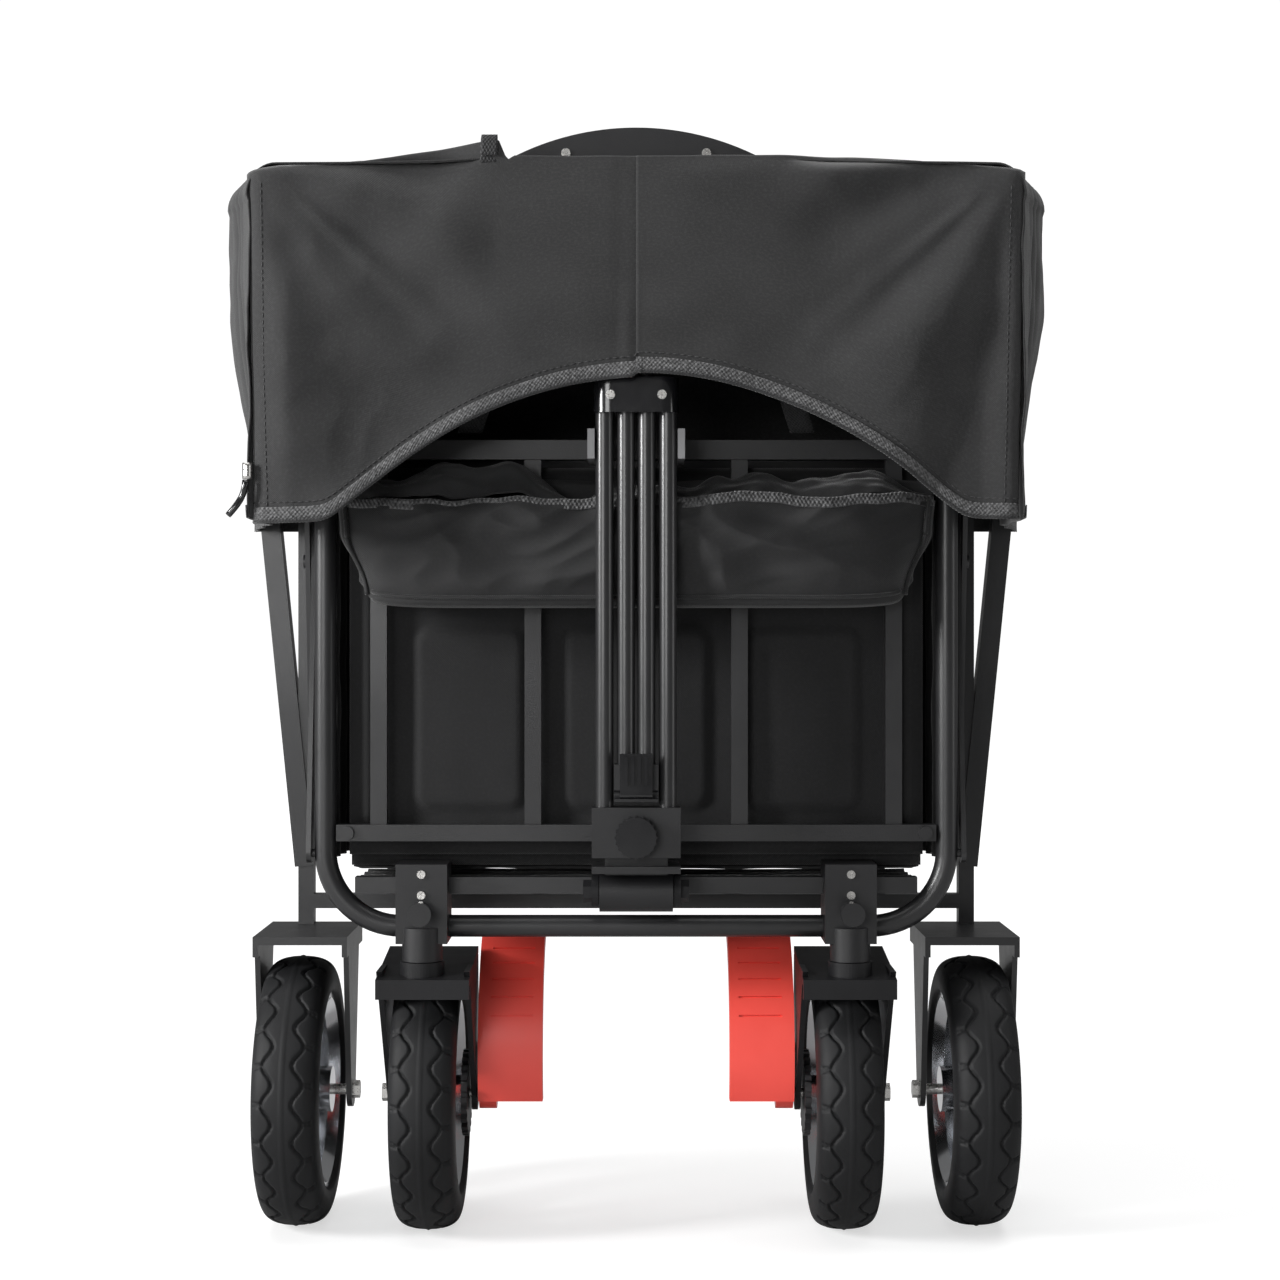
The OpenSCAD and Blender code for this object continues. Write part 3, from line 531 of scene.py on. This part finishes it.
for sign, side in ((-1, "left"), (1, "right")):
    outer = sign * FRONT_HALF
    inner = 0.0 if sign > 0 else 5.0
    us = spread(outer, inner, 130) if sign < 0 else spread(inner, outer, 130)
    depth = 0.7 if sign < 0 else 0.0
    height = FRONT_TOP - SKIRT_Z

    def at(u, v, depth=depth):
        x, y, z = flap_point(u, v / height)
        return (x, y + depth * 1.6 * smooth(20, 5, abs(u)), z)
    flap = surface(f"flap_{side}", at, us, spread(0, height, 110), CANOPY, 1.1)
    outward(flap)
    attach(flap, "canopy_front")
    flap_parts = []

    def tape_at(u, v):
        z = hem_z(u) + v - 1.0
        x, y, _ = flap_point(u, 0.0)
        return (x, flap_y(u, max(z, hem_z(u))) - 1.4 - 1.1 * math.sin(v / TAPE_WIDE * math.pi), z)
    tape = surface(f"hem_tape_{side}", tape_at, us, spread(0, TAPE_WIDE, 8), TAPE, 1.0)
    outward(tape)
    flap_parts.append(tape)
    edge = []
    for u in us[::2]:
        x, y, z = tape_at(u, 0.0)
        edge.append((x, y, z - 0.4))
    flap_parts.append(tube(f"hem_cord_{side}", edge, 1.5, WEBBING, 8))
    path = []
    for u in us:
        z = hem_z(u) + 11.5
        path.append((u * 0.985, flap_y(u, z) - 0.9, z))
    flap_parts.append(stitches(f"hem_stitch_{side}", path))
    path = []
    for z in spread(hem_z(outer) + 8, FRONT_TOP - 22, 60):
        u = outer - sign * 11
        t = (z - hem_z(u)) / (flap_top(u) - hem_z(u))
        x, y, _ = flap_point(u, t)
        path.append((x, y - 0.9, z))
    flap_parts.append(stitches(f"side_stitch_{side}", path))
    if sign < 0:
        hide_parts("canopy_flap")
    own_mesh(flap)
    for part in flap_parts:
        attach(part, "canopy_front")
        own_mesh(part)

CORNER = 22.0
PLEATS = 5
PLEAT_DROP = 16
SIDE_TAPER = 21


def canopy_half(y):
    return lerp(FRONT_HALF, BACK_HALF, (y - FLAP_Y) / (ty1 - FLAP_Y))


def canopy_roof(y):
    return lerp(FRONT_TOP, BACK_TOP, (y - FLAP_Y) / (ty1 - FLAP_Y))


def canopy_point(u, y):
    """u runs round the canopy in millimetres from the middle of the roof to a side hem."""
    half = canopy_half(y)
    roof = canopy_roof(y)
    side = -1 if u < 0 else 1
    run = abs(u)
    flat = half - CORNER
    arc = CORNER * math.pi / 2
    gather = math.sin(math.pi * smooth(ty0 + 30, ty1 - 6, y))
    pleat = 0.5 - 0.5 * math.cos(TAU * PLEATS * (y - ty0) / (ty1 - ty0))
    if run <= flat:
        x = run
        z = roof - 3 - PLEAT_DROP * gather * pleat * (1 - 0.5 * (run / flat) ** 2) \
            - 3.5 * (1 - math.cos(math.pi * run / flat)) * 0.5
        z += 1.5 * ripple(run * side, y, 0, 70, 2.2)
        return (side * x, y, z)
    if run <= flat + arc:
        a = (run - flat) / CORNER
        inset = 9 * gather * pleat * math.sin(a)
        x = flat + (CORNER - 1) * math.sin(a) - inset
        z = roof - 6.5 - CORNER * (1 - math.cos(a)) - 8 * gather * pleat * math.cos(a)
        return (side * x, y, z)
    down = run - flat - arc
    total = roof - 6.5 - CORNER - SKIRT_Z
    t = down / SIDE_RUN
    taper = SIDE_TAPER * smooth(0.25, 1.0, t) * smooth(ty0, ty0 + 120, y)
    wrinkle = 2.6 * ripple(side * 50, y, down, 62, 5.2) + 1.1 * ripple(side * 50, y, down, 20, 9.2)
    x = half - 1 - taper - 9 * gather * pleat * (1 - 0.55 * t) + wrinkle * smooth(0, 30, down) - 1.5
    return (side * x, y, roof - 6.5 - CORNER - total * t)


SIDE_RUN = FRONT_TOP + 15 - 6.5 - CORNER - SKIRT_Z
GIRTH = BACK_HALF - CORNER + CORNER * math.pi / 2 + SIDE_RUN
SLOT = 102.0


def canopy_at(u, y):
    """Scales the run round the canopy so that its rows meet its own hem at every depth."""
    own = canopy_half(y) - CORNER
    scale_flat = own / (BACK_HALF - CORNER)
    flat = BACK_HALF - CORNER
    run = abs(u)
    side = -1 if u < 0 else 1
    if run <= flat:
        return canopy_point(side * run * scale_flat, y)
    return canopy_point(side * (own + run - flat), y)


us = sorted(set(spread(0, SLOT, 22) + spread(SLOT, BACK_HALF - CORNER, 36)
                + spread(BACK_HALF - CORNER, BACK_HALF - CORNER + CORNER * math.pi / 2, 10)
                + spread(BACK_HALF - CORNER + CORNER * math.pi / 2, GIRTH, 52)))
us = [-u for u in reversed(us) if u > 0] + us
slot_back = -82.0
ys = sorted(set(spread(ty0 - 1.0, slot_back, 10) + spread(slot_back, ty1, 74)))


def in_slot(u, y):
    """Inside the slot that the handle passes through."""
    return abs(u) * (canopy_half(y) - CORNER) / (BACK_HALF - CORNER) < SLOT - 5 and y < slot_back


roof = surface("canopy_cloth_top", canopy_at, us, ys, CANOPY, 1.1, skip=in_slot)
outward(roof)
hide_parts("canopy_top")
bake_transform(roof)
for side in (-1, 1):
    tag = "left" if side < 0 else "right"

    def skirt_at(u, y, side=side):
        x, place, z = canopy_at(side * (GIRTH - TAPE_WIDE + u), y)
        return (x + side * 1.3, place, z)
    tape = surface(f"skirt_tape_{tag}", skirt_at, spread(0, TAPE_WIDE, 4), spread(ty0, ty1, 80), TAPE,
                   0.8)
    outward(tape)
    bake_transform(tape)

# the canopy's back panel, hanging from the rear bow


def back_at(u, v):
    y = ty1 - 2
    half = canopy_half(y) - 3
    z = lerp(SKIRT_Z, canopy_roof(y) - 7, v)
    taper = SIDE_TAPER * smooth(0.25, 1.0, 1 - v)
    round_ = 14 * (1 - math.sqrt(max(0.0, 1 - smooth(0.93, 1.0, v) ** 2)))
    sway = 4.5 * ripple(u * 320, 3, z, 80, 8.1) + 1.4 * ripple(u * 320, 3, z, 26, 3.3)
    return (u * (half - taper - round_), y - 3 + min(4.0, sway) * smooth(0, 0.08, 1 - abs(u)), z)


BACK_TALL = canopy_roof(ty1 - 2) - 7 - SKIRT_Z
back = outward(surface("canopy_back", lambda u, v: back_at(u / 320, v / BACK_TALL), spread(-320, 320, 150),
                       spread(0, BACK_TALL, 80), CANOPY, 1.1))
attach(back, "canopy_rear")


def back_tape_at(u, v):
    x, y, z = back_at(u / 320, v / BACK_TALL)
    return (x, y + 1.2, z)


back_tape = outward(surface("back_tape", back_tape_at, spread(-320, 320, 150), spread(0, TAPE_WIDE, 4), TAPE,
                            0.9))
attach(back_tape, "canopy_rear")

# webbing straps that tie the canopy cloth to the front bow
for side in (-1, 1):
    tag = "left" if side < 0 else "right"
    strap = outward(surface(
        f"canopy_strap_{tag}",
        lambda u, v: (side * (64 + 0.34 * v) + u - 9, -28 + 3 * math.sin(v / 30), 770 - 1.05 * v),
        spread(0, 18, 4), spread(0, 170, 40), WEBBING, 1.4))
    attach(strap, "canopy_front")

# zip slider and its pull, hanging at the left corner
slider = tube("zip_slider", [(-FRONT_HALF + 2, FLAP_Y - 3, 562 - 2.2 * k) for k in range(6)], 3.4, ZINC,
              10)
pull_path = [(-FRONT_HALF - 0.12 * k * k + 1, FLAP_Y - 4 - 0.5 * math.sin(k), 550 - 2.4 * k)
             for k in range(11)]
pull = tube("zip_pull", pull_path, 2.3, GLOSS, 12)
for part in (slider, pull):
    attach(part, "canopy_front")


def tab_at(u, v):
    """A loop of webbing sewn to the top edge, folded over itself."""
    a = v / 26 * math.pi * 1.1
    return (-107 + u + 0.6 * math.sin(v / 5), FLAP_Y - 3.4 + 2.6 * (1 - math.cos(a)) / 2,
            FRONT_TOP - 2 + 14 * math.sin(a))


tab = outward(surface("top_tab", tab_at, spread(0, 11, 8), spread(0, 26, 26), WEBBING, 1.2))
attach(tab, "canopy_front")

# ---------------------------------------------------------------- pouch

(px0, py0, pz0), (px1, py1, pz1) = box_mm("front_pouch")


def crumple(x, z, seed):
    """Sharp creases in limp cloth."""
    a = ripple(x + 0.8 * z, 0, z * 1.9, 62, seed)
    b = ripple(x * 0.8 - z, z, z * 0.8, 30, seed + 3)
    return (0.42 - abs(a)) * 4.2 + (0.4 - abs(b)) * 1.5


def pouch_at(u, v):
    """v runs from the back top rim down, under and up the front to the rolled rim."""
    x = u
    s = min(1.0, abs(x) / px1)
    swell = (1 - s ** 7)
    back = py1 - 1.5
    front = lerp(back - 6, py0 + 3.0, swell)
    drop = pz1 - pz0 - 4
    floor_z = pz0 + 2.5 + 20 * s ** 12
    tuck = 16 * smooth(0.84, 1.0, s)
    deep = back - front
    if v < drop:
        z = pz1 - 1 - v * (pz1 - 1 - floor_z) / drop
        pull = tuck * smooth(0.5, 1.0, v / drop)
        return (x - math.copysign(pull, x), back, z + 3 * ripple(x, 0, 3, 40, 1.1) * (1 - v / drop))
    if v < drop + 40:
        t = (v - drop) / 40
        a = math.pi * t
        return (x - math.copysign(tuck, x), back - deep * (1 - math.cos(a)) / 2, floor_z - 2.0 * math.sin(a))
    t = (v - drop - 40) / 76
    rim = pz0 + 75 + 5.5 * ripple(x, 0, 9, 60, 6.3) + 2 * ripple(x, 0, 9, 22, 2.3)
    z = lerp(floor_z, rim, min(1, t))
    y = front - 2.6 * crumple(x, z, 0.7) * smooth(0, 0.25, t) * swell
    y -= 4 * math.sin(math.pi * min(1, t)) * swell
    y = max(y, py0 - 6)
    pull = tuck * (1 - smooth(0.0, 0.6, t))
    return (x * (1 - 0.012 * math.sin(math.pi * t)) - math.copysign(pull, x), y, z)


DROP = pz1 - pz0 - 4


def lining_at(u, v):
    """The pouch's limp lid, bunched up behind its rim."""
    s = min(1.0, abs(u) / (px1 - 10))
    a = v / 90
    crest = 27 + 17 * ripple(u, 1, 0, 64, 5.1) + 8 * ripple(u, 4, 0, 26, 1.9)
    crest *= 1 - 0.45 * (1 - smooth(40, 62, abs(u)))
    fold = 7.5 * ripple(u * 0.8, v * 1.2, 2, 34, 9.4) + 3.2 * ripple(u, v, 6, 14, 2.9)
    y = lerp(py1 - 4, py0 + 8 + 14 * s ** 6, a) - fold * 0.35
    z = pz0 + 70 + crest * math.sin(math.pi * (0.18 + 0.72 * a)) * (1 - 0.4 * s ** 4) + fold * 0.55
    return (u, min(py1 - 3, max(py0 + 4, y)), min(pz1 + 19, z))


pouch = surface("pouch_bag", pouch_at, spread(px0 + 1, px1 - 1, 230),
                spread(0, DROP, 20) + spread(DROP, DROP + 40, 12)[1:] + spread(DROP + 40, DROP + 116, 46)[1:],
                POUCH, 1.3)
outward(pouch)
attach(pouch, "front_frame")
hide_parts("front_pouch")
pouch_parts = [outward(surface("pouch_lid", lining_at, spread(px0 + 8, px1 - 8, 200), spread(0, 90, 60),
                               POUCH, 1.1))]


def rim_at(u, v):
    x, y, z = pouch_at(u, DROP + 40 + 76)
    a = v / 10 * math.pi
    return (x, y - 1.9 * math.cos(a) + 1.0, z + 1.0 + 2.2 * math.sin(a) - 5 * abs(v - 5) / 5)


tape = outward(surface("pouch_rim", rim_at, spread(px0 + 2, px1 - 2, 230), spread(0, 10, 10), TAPE,
                       0.8))
pouch_parts.append(tape)
for side in (-1, 1):
    tag = "left" if side < 0 else "right"
    run = []
    for t in spread(0, 1, 44):
        x, y, z = pouch_at(side * (px1 - 8 - 10 * t ** 6), DROP + 40 + 76 * (1 - t))
        run.append((x + side * 1.5, y - 2.2, z))
    pouch_parts.append(tube(f"pouch_piping_{tag}", run, 1.8, POUCH))
run = []
for u in spread(px0 + 24, px1 - 24, 160):
    x, y, z = pouch_at(u, DROP + 40 + 5)
    run.append((x, y - 1.0, z))
pouch_parts.append(tube("pouch_bottom_piping", run, 1.6, POUCH))
for part in pouch_parts:
    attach(part, "front_frame")

# ---------------------------------------------------------------- padded walls


def rounded(x, z, x0, x1, z0, z1, r):
    """1 inside a rounded rectangle, falling to 0 at its seam."""
    dx = max(x0 + r - x, 0, x - (x1 - r))
    dz = max(z0 + r - z, 0, z - (z1 - r))
    return 1 - smooth(r * 0.35, r, math.hypot(dx, dz))


def pad(name, node, body, facing, panels, puff, material, upright=True):
    """A quilted pad inside the CAD solid's outline: soft panels between sewn channels."""
    low, high = box_mm(node)
    w = high[0] - low[0]
    h = high[2] - low[2] if upright else high[1] - low[1]
    nx, nz = 180, 110
    verts = []
    uvs = []
    for layer in (0, 1):
        for j in range(nz + 1):
            for i in range(nx + 1):
                x = lerp(low[0], high[0], i / nx)
                q = lerp(0, h, j / nz)
                raise_ = max(rounded(x, q, *p) for p in panels)
                rim = min(i, nx - i) * w / nx
                rim2 = min(j, nz - j) * h / nz
                edge = smooth(0, 6, min(rim, rim2))
                t = (high[1] - low[1]) if upright else (high[2] - low[2])
                half = t / 2 * (0.35 + 0.5 * edge)
                bulge = (puff if layer == (0 if facing < 0 else 1) else puff * 0.2) * raise_
                wob = 0.7 * ripple(x, q, 3, 30, 4.0 + layer)
                off = (half + bulge + wob * edge) * (-1 if layer == 0 else 1)
                c = (low[1] + high[1]) / 2 if upright else (low[2] + high[2]) / 2
                xs = lerp(low[0] + 2, high[0] - 2, i / nx)
                if upright:
                    verts.append((xs, c + off, low[2] + lerp(2, h - 2, j / nz)))
                else:
                    verts.append((xs, low[1] + lerp(2, h - 2, j / nz), c + off))
                uvs.append((x, q))
    n = nx + 1
    base = n * (nz + 1)
    faces = []
    for j in range(nz):
        for i in range(nx):
            a, b, c, d = j * n + i, j * n + i + 1, (j + 1) * n + i + 1, (j + 1) * n + i
            faces.append((a, b, c, d))
            faces.append((base + d, base + c, base + b, base + a))
    ring = [i for i in range(n)] + [j * n + nx for j in range(1, nz + 1)] \
        + [nz * n + i for i in range(nx - 1, -1, -1)] + [j * n for j in range(nz - 1, 0, -1)]
    for k, a in enumerate(ring):
        b = ring[(k + 1) % len(ring)]
        faces.append((a, b, base + b, base + a))
    obj = outward(make_object(name, verts, faces, material, uvs))
    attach(obj, body)
    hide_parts(node)
    return obj


WALL_PANELS = [(-206, -190, 20, 290, 12), (-168, -78, 30, 172, 16), (-58, 58, 30, 172, 16),
               (78, 168, 30, 172, 16), (190, 206, 20, 290, 12), (-168, 168, 186, 290, 16)]
pad("front_wall_pad", "front_wall", "front_frame", -1, WALL_PANELS, 4.5, BASKET)
pad("rear_wall_pad", "rear_wall", "rear_frame", 1, WALL_PANELS, 4.5, BASKET)
BOARD_PANELS = [(-204, -70, 8, 236, 18), (-64, 64, 8, 236, 18), (70, 204, 8, 236, 18)]
pad("floor_pad_front", "floor_board_front", "floor_front", -1, BOARD_PANELS, 3.0, BOARD)
pad("floor_pad_rear", "floor_board_rear", "floor_rear", 1, BOARD_PANELS, 3.0, BOARD)
pad("floor_pad_centre", "floor_centre_board", "floor_centre", 1, [(-204, 204, 5, 42, 9)], 2.0, BOARD,
    upright=False)

# ---------------------------------------------------------------- basket sides and floor

(_, sy0, sz0), (_, sy1, sz1) = box_mm("side_fabric")
COLLAR_ROOM = 4
BASKET_WAVES = 4
FLOOR_Z = 262
for side in (-1, 1):
    tag = "left" if side < 0 else "right"

    def side_at(u, v, side=side):
        swing = 6.0 * math.sin(TAU * BASKET_WAVES * (u - sy0) / (sy1 - sy0))
        swing *= smooth(0, 12, min(u - sy0, sy1 - u))
        sag = 4 * smooth(0.6, 1, (v - sz0) / (sz1 - sz0)) * math.sin(math.pi * (u - sy0) / (sy1 - sy0))
        return (side * (221.5 - swing * 0.9 + 1.2 * ripple(u, v, side, 40, 2.0)), u, v - sag)
    cloth = outward(surface(f"side_cloth_{tag}", side_at, spread(sy0 + COLLAR_ROOM, sy1, 96),
                            spread(sz0, sz1, 60), BASKET, 1.2))
    if side < 0:
        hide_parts("side_fabric")
    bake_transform(cloth)

under = outward(surface(
    "basket_floor",
    lambda u, v: (u, v, FLOOR_Z + 2.5 * math.sin(TAU * BASKET_WAVES * (v - sy0) / (sy1 - sy0))
                  + 0.8 * ripple(u, v, 0, 50, 7.7)),
    spread(-205, 205, 60), spread(-30, 64, 96), BASKET, 1.2))
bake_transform(under)

# ---------------------------------------------------------------- floor, light, camera

plane = bpy.data.meshes.new("studio_floor")
plane.from_pydata([(-9, -7, 0), (9, -7, 0), (9, 11, 0), (-9, 11, 0)], [], [(0, 1, 2, 3)])
ground = bpy.data.objects.new("studio_floor", plane)
bpy.context.scene.collection.objects.link(ground)
floor_mat, floor_tree, floor_bsdf = new_material("pale_floor")
floor_coord = floor_tree.nodes.new("ShaderNodeTexCoord")
floor_noise = add_noise(floor_tree, floor_coord, "Object", 1.5)
floor_ramp = add_ramp(floor_tree, floor_noise, "Fac", [(0.3, (0.50, 0.50, 0.50)), (0.7, (0.52, 0.52, 0.52))])
link(floor_tree, floor_ramp, "Color", floor_bsdf, "Base Color")
floor_bsdf.inputs["Roughness"].default_value = 0.9
floor_bsdf.inputs["Specular IOR Level"].default_value = 0.1
floor_bsdf.inputs["Emission Color"].default_value = (1, 1, 1, 1)
floor_seen = floor_tree.nodes.new("ShaderNodeLightPath")
floor_far = floor_tree.nodes.new("ShaderNodeVectorMath")
floor_far.operation = "LENGTH"
floor_tree.links.new(floor_coord.outputs["Object"], floor_far.inputs[0])
floor_rise = floor_tree.nodes.new("ShaderNodeMapRange")
floor_rise.inputs["From Min"].default_value = 0.9
floor_rise.inputs["From Max"].default_value = 3.2
floor_rise.inputs["To Min"].default_value = 0.62
floor_rise.inputs["To Max"].default_value = 1.05
floor_tree.links.new(floor_far.outputs["Value"], floor_rise.inputs["Value"])
floor_glow = add_math(floor_tree, "MULTIPLY", (floor_rise, "Result"), (floor_seen, "Is Camera Ray"))
floor_tree.links.new(floor_glow.outputs[0], floor_bsdf.inputs["Emission Strength"])
plane.materials.append(floor_mat)

world = bpy.data.worlds.new("studio")
bpy.context.scene.world = world
world.use_nodes = True
sky = world.node_tree.nodes["Background"]
sky.inputs["Color"].default_value = (1, 1, 1, 1)
seen = world.node_tree.nodes.new("ShaderNodeLightPath")
strength = world.node_tree.nodes.new("ShaderNodeMapRange")
strength.inputs["To Min"].default_value = 0.16
strength.inputs["To Max"].default_value = 1.05
world.node_tree.links.new(seen.outputs["Is Camera Ray"], strength.inputs["Value"])
world.node_tree.links.new(strength.outputs["Result"], sky.inputs["Strength"])


def lamp(name, place, aim, size, power):
    data = bpy.data.lights.new(name, "AREA")
    data.shape = "RECTANGLE"
    data.size, data.size_y = size
    data.energy = power
    obj = bpy.data.objects.new(name, data)
    obj.location = place
    obj.rotation_euler = (Vector(aim) - Vector(place)).to_track_quat("-Z", "Y").to_euler()
    bpy.context.scene.collection.objects.link(obj)


lamp("key_left", (-2.6, -1.25, 1.25), (0, -0.1, 0.6), (0.6, 1.0), 105)
lamp("rim_right", (2.5, -0.9, 0.7), (0, 0, 0.3), (0.6, 1.2), 6)
lamp("top_soft", (0, 0.1, 3.0), (0, 0, 0.4), (3.4, 3.0), 78)
lamp("front_soft", (-1.1, -2.9, 0.75), (0, 0, 0.35), (1.3, 0.8), 22)

bpy.context.scene.view_settings.view_transform = "Standard"

camera = bpy.data.cameras.new("photo_view")
camera.lens = 64.6
camera.sensor_width = 36
camera.shift_x = 0.003
eye = bpy.data.objects.new("photo_view", camera)
eye.location = (0, -1.712, 0.44)
eye.rotation_euler = (math.pi / 2, 0, 0)
bpy.context.scene.collection.objects.link(eye)
bpy.context.scene.camera = eye
